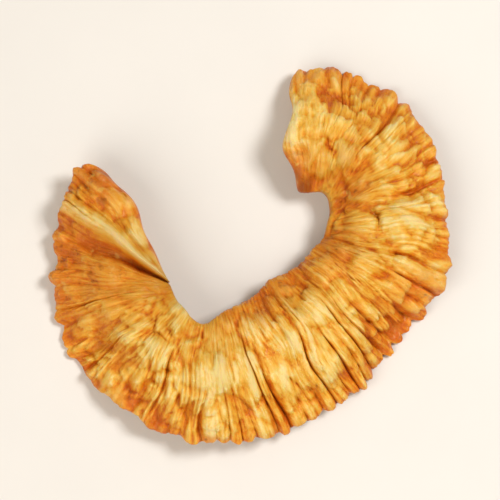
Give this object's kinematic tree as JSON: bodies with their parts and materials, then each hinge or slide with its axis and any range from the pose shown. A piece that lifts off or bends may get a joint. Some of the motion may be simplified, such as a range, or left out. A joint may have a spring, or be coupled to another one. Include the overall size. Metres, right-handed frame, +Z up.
{
  "type": "dried pineapple slice",
  "caption": "Cored slice of dried pineapple, cut open at the side, curled and ruffled, with grooved fibre bundles running from the core hole to the rim.",
  "frame": {"origin": "centre of the slice's bounding box in plan, at the height of the surface it rests on", "axes": "+Z up from the resting surface, +X to the right of the view from above, +Y away from the viewer, with the open side of the ring at the upper left"},
  "size_m": [0.0718, 0.0684, 0.0139],
  "materials": {
    "dried_flesh": "golden yellow dried fruit flesh, faintly waxy, amber in the grooves and browned at the rim"
  },
  "bodies": {
    "root": {"dried_pineapple_slice": "dried_flesh"}
  },
  "joints": []
}
